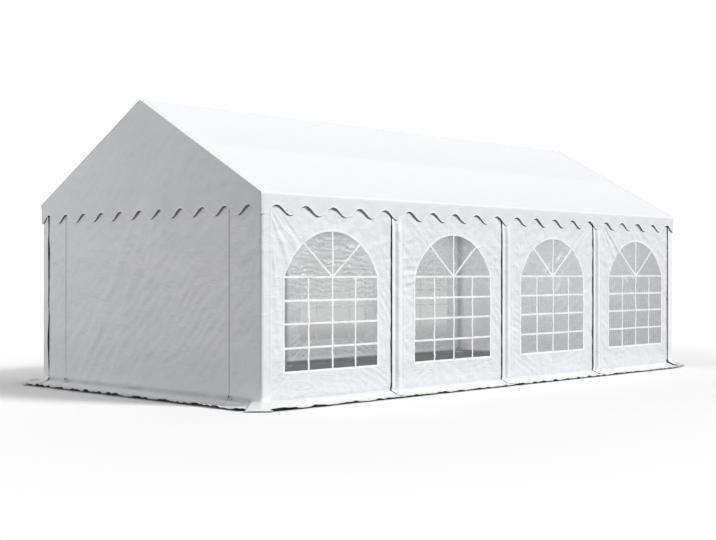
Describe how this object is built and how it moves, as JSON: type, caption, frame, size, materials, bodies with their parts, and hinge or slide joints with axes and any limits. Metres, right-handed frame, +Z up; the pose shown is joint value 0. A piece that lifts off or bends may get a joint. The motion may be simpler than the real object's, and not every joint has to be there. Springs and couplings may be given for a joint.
{
  "type": "marquee tent",
  "caption": "Walk-in party marquee with a gable roof, scalloped valance, arched clear windows and a ground skirt on a steel tube frame.",
  "frame": {"origin": "on the ground at the middle of the tent's footprint", "axes": "+X across the width, towards the right long side; +Y along the length, from the front gable to the back gable; +Z up"},
  "size_m": [4.58, 8.58, 3.2699],
  "materials": {
    "galvanised_steel": "satin",
    "roof_cloth": "satin",
    "wall_cloth": "satin",
    "clear_film": "gloss"
  },
  "bodies": {
    "root": {"post_left_1": "galvanised_steel", "post_left_2": "galvanised_steel", "post_left_3": "galvanised_steel", "post_left_4": "galvanised_steel", "post_left_5": "galvanised_steel", "post_right_1": "galvanised_steel", "post_right_2": "galvanised_steel", "post_right_3": "galvanised_steel", "post_right_4": "galvanised_steel", "post_right_5": "galvanised_steel", "rafter_left_1": "galvanised_steel", "rafter_left_2": "galvanised_steel", "rafter_left_3": "galvanised_steel", "rafter_left_4": "galvanised_steel", "rafter_left_5": "galvanised_steel", "rafter_right_1": "galvanised_steel", "rafter_right_2": "galvanised_steel", "rafter_right_3": "galvanised_steel", "rafter_right_4": "galvanised_steel", "rafter_right_5": "galvanised_steel", "ridge_tube": "galvanised_steel", "eave_tube_left": "galvanised_steel", "eave_tube_right": "galvanised_steel", "purlin_left": "galvanised_steel", "purlin_right": "galvanised_steel", "gable_tie_front": "galvanised_steel", "gable_tie_back": "galvanised_steel", "roof_left": "roof_cloth", "roof_right": "roof_cloth", "valance_left": "roof_cloth", "valance_right": "roof_cloth", "gable_top_front": "roof_cloth", "gable_top_back": "roof_cloth", "side_panel_left_1": "wall_cloth", "side_panel_left_2": "wall_cloth", "side_panel_left_3": "wall_cloth", "side_panel_left_4": "wall_cloth", "side_panel_right_1": "wall_cloth", "side_panel_right_2": "wall_cloth", "side_panel_right_3": "wall_cloth", "side_panel_right_4": "wall_cloth", "window_left_1": "clear_film", "window_left_2": "clear_film", "window_left_3": "clear_film", "window_left_4": "clear_film", "window_right_1": "clear_film", "window_right_2": "clear_film", "window_right_3": "clear_film", "window_right_4": "clear_film", "gable_wall_front": "wall_cloth", "gable_wall_back": "wall_cloth", "gable_door_front": "wall_cloth", "gable_door_back": "wall_cloth", "skirt_front": "wall_cloth", "skirt_back": "wall_cloth", "skirt_left": "wall_cloth", "skirt_right": "wall_cloth"}
  },
  "joints": []
}
